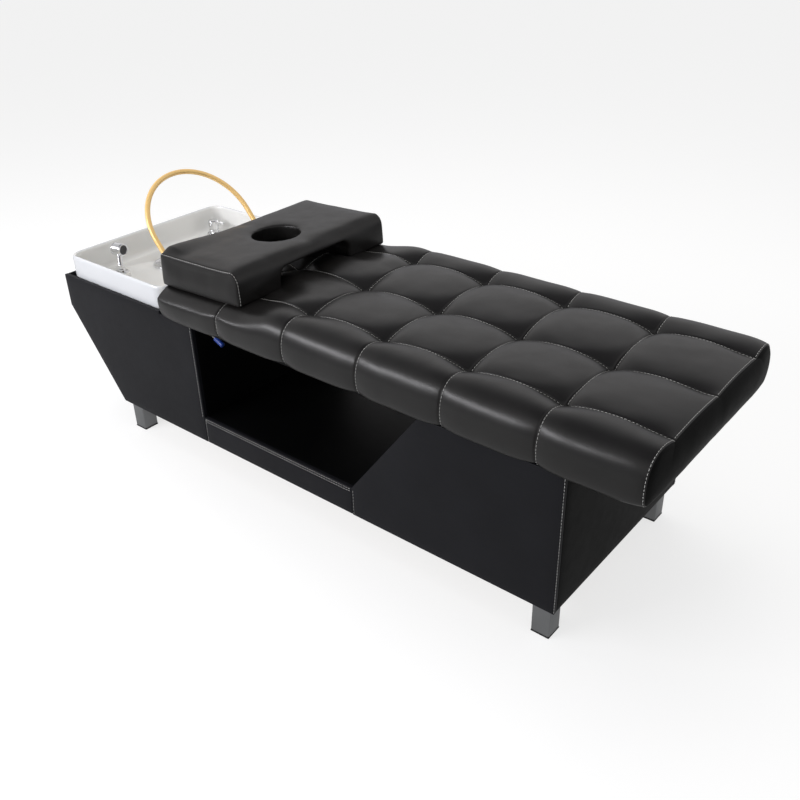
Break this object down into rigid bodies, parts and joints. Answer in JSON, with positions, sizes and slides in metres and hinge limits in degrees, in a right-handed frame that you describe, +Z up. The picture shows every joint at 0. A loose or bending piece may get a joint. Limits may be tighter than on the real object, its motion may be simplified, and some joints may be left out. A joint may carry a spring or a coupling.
{
  "type": "hair washing bed",
  "caption": "Upholstered salon bed with a tufted mattress, ceramic wash basin, swinging water arch, hand sprayer, mixer, lift-off face pillow and open storage bay.",
  "frame": {"origin": "centre of the footprint box, on the floor", "axes": "+X towards the foot end, +Z up, so the near side with the valve faces -Y"},
  "size_m": [2.022, 0.6698, 0.7861],
  "materials": {
    "side_leather": "satin grained black",
    "bay_lining": "smooth black",
    "seat_leather": "satin grained black with light stitching",
    "pillow_leather": "satin grained black with light stitching",
    "timber": "bare plywood and battens",
    "leg_steel": "satin",
    "screw_steel": "zinc plated",
    "glide_plastic": "matt black",
    "basin_ceramic": "gloss white",
    "fitting_chrome": "polished",
    "plain_steel": "satin",
    "fitting_brass": "plain turned brass",
    "arch_gold": "polished gold plating",
    "seal_rubber": "soft black",
    "waste_plastic": "white moulded",
    "spray_face_rubber": "dark grey",
    "grip_blue": "blue dipped sleeve"
  },
  "bodies": {
    "bed": {"near_head_panel": "side_leather", "near_rail_panel": "side_leather", "near_foot_panel": "side_leather", "far_head_panel": "side_leather", "far_rail_panel": "side_leather", "far_foot_panel": "side_leather", "head_end_panel": "side_leather", "foot_end_panel": "side_leather", "bay_floor": "bay_lining", "head_bulkhead": "bay_lining", "slanted_partition": "bay_lining", "deck_board": "bay_lining", "deck_cleats": "bay_lining", "mattress_board": "bay_lining", "mattress": "seat_leather", "base_board": "timber", "floor_battens": "timber", "partition_batten": "timber", "deck_head_bearer": "timber", "near_basin_bearer": "timber", "far_basin_bearer": "timber", "near_head_leg": "leg_steel", "near_foot_leg": "leg_steel", "far_head_leg": "leg_steel", "far_foot_leg": "leg_steel", "deck_screws": "screw_steel", "leg_screws": "screw_steel", "near_head_glide": "glide_plastic", "near_foot_glide": "glide_plastic", "far_head_glide": "glide_plastic", "far_foot_glide": "glide_plastic", "basin": "basin_ceramic", "drain_flange": "fitting_chrome", "sprayer_socket": "fitting_chrome", "mixer_body": "fitting_chrome", "drain_nut": "fitting_brass", "sprayer_nut": "fitting_brass", "mixer_nut": "fitting_brass", "hot_inlet": "fitting_brass", "cold_inlet": "fitting_brass", "valve_body": "fitting_brass", "valve_pipe": "fitting_brass", "valve_flange": "fitting_brass", "near_arch_foot": "arch_gold", "far_arch_foot": "arch_gold", "drain_washer": "seal_rubber", "waste_trap": "waste_plastic", "waste_nut": "waste_plastic", "waste_pipe": "waste_plastic"},
    "pillow": {"face_pillow": "pillow_leather"},
    "arch": {"water_arch": "arch_gold"},
    "mixer_turn_hub": {"mixer_hub": "fitting_chrome"},
    "mixer_cap": {"mixer_lever": "fitting_chrome"},
    "sprayer": {"sprayer_handle": "fitting_chrome", "sprayer_face": "spray_face_rubber", "sprayer_hose_tail": "fitting_brass"},
    "strainer": {"drain_strainer": "plain_steel"},
    "valve_handle": {"valve_lever": "plain_steel", "valve_grip": "grip_blue"}
  },
  "joints": [
    {"name": "pillow_lift", "type": "slide", "parent": "bed", "child": "pillow", "axis": [0, 0, 1], "range_m": [0, 0.25]},
    {"name": "arch_swing", "type": "hinge", "parent": "bed", "child": "arch", "pos_m": [-0.581, 0, 0.505], "axis": [0, 1, 0], "range_deg": [-25, 50]},
    {"name": "mixer_turn", "type": "hinge", "parent": "bed", "child": "mixer_turn_hub", "pos_m": [-0.943, 0.24, 0.497], "axis": [0, 0, 1], "range_deg": [-40, 40]},
    {"name": "mixer_tilt", "type": "hinge", "parent": "mixer_turn_hub", "child": "mixer_cap", "pos_m": [-0.943, 0.24, 0.5119], "axis": [0.1736, -0.9848, 0], "range_deg": [0, 18]},
    {"name": "sprayer_lift", "type": "slide", "parent": "bed", "child": "sprayer", "axis": [0, 0, 1], "range_m": [0, 0.2]},
    {"name": "strainer_lift", "type": "slide", "parent": "bed", "child": "strainer", "axis": [0, 0, 1], "range_m": [0, 0.08]},
    {"name": "valve_turn", "type": "hinge", "parent": "bed", "child": "valve_handle", "pos_m": [-0.359, -0.265, 0.458], "axis": [0, -1, 0], "range_deg": [-63, 27]}
  ]
}
